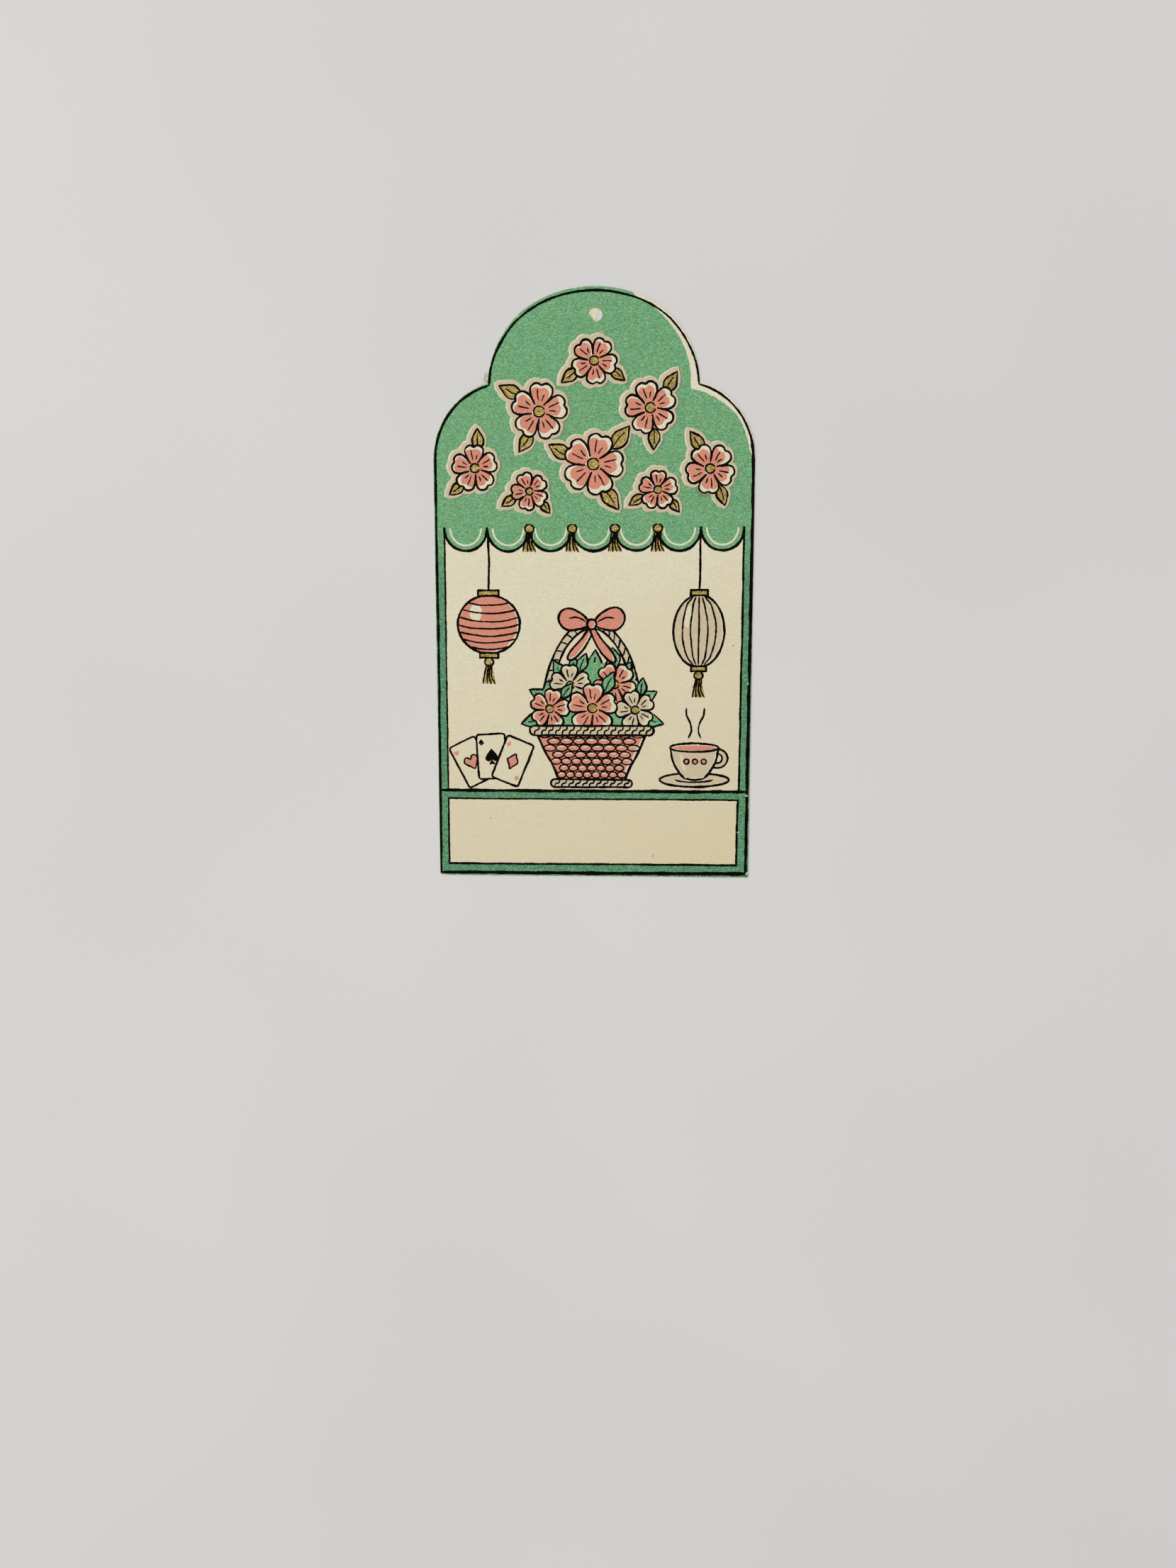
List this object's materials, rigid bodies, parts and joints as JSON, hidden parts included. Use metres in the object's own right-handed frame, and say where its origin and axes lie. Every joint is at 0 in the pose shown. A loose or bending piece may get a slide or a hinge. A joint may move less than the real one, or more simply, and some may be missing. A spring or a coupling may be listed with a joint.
{
  "type": "bridge tally card",
  "caption": "Upright die-cut tally card with a lobed crown, a punched cord hole near its apex and a bordered name panel at its foot.",
  "frame": {"origin": "middle of the card's extents, on the blank back that it lies on", "axes": "+X across the card to the right, +Y up the card towards the crown, +Z out of the printed front"},
  "size_m": [0.0762, 0.1396, 0.0004],
  "materials": {
    "card_stock": "uncoated cream cover stock, printed on the front in green, coral, beige, gold and black, blank on the back",
    "green_ink": "matt sea-green printing ink, a little mottled by the stock under it",
    "beige_ink": "matt beige printing ink",
    "coral_ink": "matt coral printing ink",
    "gold_ink": "bronze powder ink with a fine sparkle",
    "black_ink": "black printing ink with a slight gloss"
  },
  "bodies": {
    "root": {"tally_card": "card_stock"}
  },
  "joints": []
}
